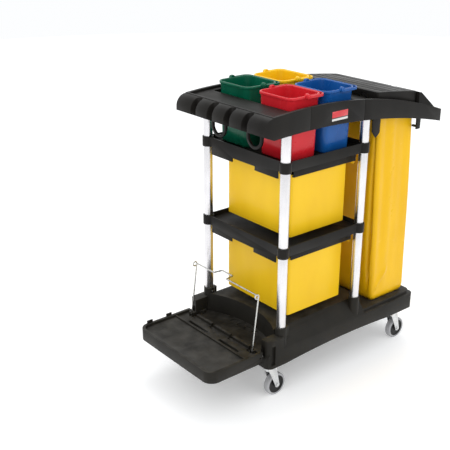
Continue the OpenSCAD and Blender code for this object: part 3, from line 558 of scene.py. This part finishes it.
def make_handle(colour):
    """Strap that lies level round the rim, with an eye over each pivot."""
    node = "handle_" + colour
    low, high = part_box(node)
    eye_r = 9 * MM
    half_strap = 2.5 * MM
    pivot = Vector((low.x + eye_r, (low.y + high.y) / 2, low.z + eye_r))
    arm = (high.y - low.y) / 2 - half_strap
    reach = high.x - pivot.x - half_strap
    section = [(-2.4, -7), (-1.6, -8), (1.6, -8), (2.4, -7), (2.4, 1.0), (1.6, 2), (-1.6, 2), (-2.4, 1.0)]
    rings = []
    for x, y, heading in strap_path(reach, arm, 26 * MM):
        side = Vector((math.sin(heading), -math.cos(heading), 0))
        rings.append([pivot + Vector((x, y, 0)) + side * (u * MM) + Vector((0, 0, z * MM))
                      for u, z in section])
    verts, faces = loft(rings)
    strap = mesh_piece("strap_handle_" + colour, verts, faces, "pail_" + colour, node)
    shade_by_angle(strap)
    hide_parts(node)
    for side in (-1, 1):
        eye = pivot + Vector((0, side * arm, 0))
        ring = [(-2.5, 4.1), (-2.5, 8.2), (-1.9, 9), (1.9, 9), (2.5, 8.2), (2.5, 4.1), (-2.5, 4.1)]
        verts, faces = loft(lathe_y(ring, eye, side), False, False)
        name = "handle_eye_{}_{}".format(colour, "left" if side > 0 else "right")
        shade_by_angle(mesh_piece(name, verts, faces, "pail_" + colour, node))


# ---- bag ----
CREASE_START = (0.305, 0.275)
CREASE_END = (0.385, 0.375)
VINYL = 1.4 * MM
CLEAR_OF_HOOKS = 3.4 * MM


def bell(value, centre, width):
    return math.exp(-((value - centre) / width) ** 2)


def bag_offset(x, y, z, side, up):
    """How far the hanging vinyl stands out from a flat panel, in millimetres."""
    sway = 2.2 * noise.noise(Vector((x * 5, y * 5, z * 1.6)))
    ripple = 1.3 * noise.noise(Vector((x * 16, y * 16, z * 3 + 4)))
    slack = 3.2 * math.sin(math.pi * up) ** 2
    hem = 1.2 * min(1.0, max(0.0, (up - 0.962) * 200))
    out = sway + ripple + slack + hem
    if side == "near" or side == "far":
        out += side_folds(x, z, up)
    if side == "front":
        out += corner_creases(y, z, up)
    if side == "back":
        out += 3.5 * math.sin(y * 27 + 1) * math.sin(math.pi * up)
    return out


def side_folds(x, z, up):
    """Soft upright folds of the side panels, crinkled below the hem."""
    lean = 0.018 * (1 - up)
    fold = 3.4 * bell(x, 0.357 + lean, 0.016) * (0.35 + 0.65 * up)
    hollow = -4.2 * bell(x, 0.318 + lean, 0.018) * min(1, up * 3)
    rear = -2.6 * bell(x, 0.43 + lean, 0.02) * min(1, up * 2)
    crinkle = 2.2 * math.sin(z * 190) * bell(x, 0.357, 0.010) * bell(z, 0.97, 0.08)
    return fold + hollow + rear + crinkle


def corner_creases(y, z, up):
    """Deep tucks beside both corners of the front panel, each with a rolled lip."""
    edge = -0.214 + 0.028 * (1 - up)
    out = 4 * math.sin(y * 31) * math.sin(math.pi * up)
    for s in (1, -1):
        out -= 17 * bell(s * y, edge, 0.0075) * min(1, max(0, (z - 0.26) / 0.12))
        out += 7 * bell(s * y, edge - 0.014, 0.009) * min(1, up * 4)
        out += 4 * bell(s * y, edge + 0.022, 0.014) * min(1, up * 4)
    return out


def crease_offset(x, z, start, end, width, height):
    """Height of a raised crease that runs from start to end on the near panel, in millimetres."""
    run = Vector((end[0] - start[0], end[1] - start[1]))
    along = Vector((x - start[0], z - start[1])).dot(run) / run.length_squared
    across = ((x - start[0]) * run.y - (z - start[1]) * run.x) / run.length
    fade = max(0.0, min(1.0, min(along, 1 - along) * 5 + 0.3)) if -0.06 < along < 1.06 else 0.0
    return height * bell(across, 0, width) * fade


def make_bag():
    low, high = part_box("bag")
    foot = 36 * MM
    top = (high.x - foot - low.x, high.y)
    rows, steps, corner = 72, 8, 20 * MM
    rings = []
    for r in range(rows + 1):
        up = r / rows
        z = low.z + (high.z - low.z) * up
        shift = foot * (1 - up)
        tuck = 9 * MM * (1 - min(1.0, up * 26)) ** 2
        half_x = top[0] / 2 - tuck
        half_y = top[1] - tuck
        middle_x = low.x + top[0] / 2 + shift
        ring = []
        for x, y, normal, side in bag_loop(half_x, half_y, corner, steps):
            out = bag_offset(middle_x + x, y, z, side, up) * min(1.0, up * 12) * MM
            if side == "near":
                out += crease_offset(middle_x + x, z, CREASE_START, CREASE_END, 0.007, 6.5) * MM
            out -= CLEAR_OF_HOOKS
            ring.append((middle_x + x + normal.x * out, y + normal.y * out, z))
        rings.append(ring)
    verts, faces = loft(rings, True, False)
    bag = mesh_piece("vinyl_bag", verts, faces, "bag_vinyl", "cart_frame")
    skin = bag.modifiers.new("skin", "SOLIDIFY")
    skin.thickness = VINYL
    skin.offset = -1
    for face in bag.data.polygons:
        face.use_smooth = True
    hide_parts("bag")


def bag_loop(half_x, half_y, radius, steps):
    """Points round the bag with their outward direction and the panel that they belong to."""
    points = []
    panels = (("back", (half_x, -half_y), (half_x, half_y), Vector((1, 0))),
              ("far", (half_x, half_y), (-half_x, half_y), Vector((0, 1))),
              ("front", (-half_x, half_y), (-half_x, -half_y), Vector((-1, 0))),
              ("near", (-half_x, -half_y), (half_x, -half_y), Vector((0, -1))))
    for name, start, end, normal in panels:
        a, b = Vector(start), Vector(end)
        run = (b - a).normalized()
        a, b = a + run * radius, b - run * radius
        count = {"front": 120, "near": 56}.get(name, 32)
        for i in range(count + 1):
            p = a.lerp(b, i / count)
            points.append((p.x, p.y, normal, name))
        centre = b - normal * radius
        for i in range(1, steps):
            angle = math.radians(90) * i / steps
            turn = normal * math.cos(angle) + run * math.sin(angle)
            p = centre + turn * radius
            points.append((p.x, p.y, turn, "corner"))
    return points


# ---- frame parts ----
EDGE_RADII = {"base_deck": 2.5, "hood": 2.2, "bag_lid": 1.6, "platform": 2.0, "lower_shelf": 1.4,
              "upper_shelf": 1.4, "lower_bin": 2.0, "upper_bin": 2.0, "tool_loops": 1.5, "bag_hooks": 2.0,
              "nameplate": 0.4, "post_screws": 0.25, "bail_wire": 0.0}


def finish_frame_parts():
    """Every frame part that shows keeps its shape, with mould radii and its own finish."""
    slots = {part["node"]: part["material_slot"] for part in frame["record"]["subparts"]}
    for name, obj in NODES.items():
        for place in obj.material_slots:
            place.link = "OBJECT"
            place.material = FINISH[slots[name]]
        radius = EDGE_RADII.get(name, 0.8)
        if radius and not name.startswith(("pail_", "handle_", "bag")) or name in ("bag_lid", "bag_hooks"):
            soften_edges(obj, radius * MM)


add_camera()
add_studio()
add_floor()
finish_frame_parts()
for tint in ("red", "blue", "green", "yellow"):
    make_pail(tint)
    make_handle(tint)
make_bag()
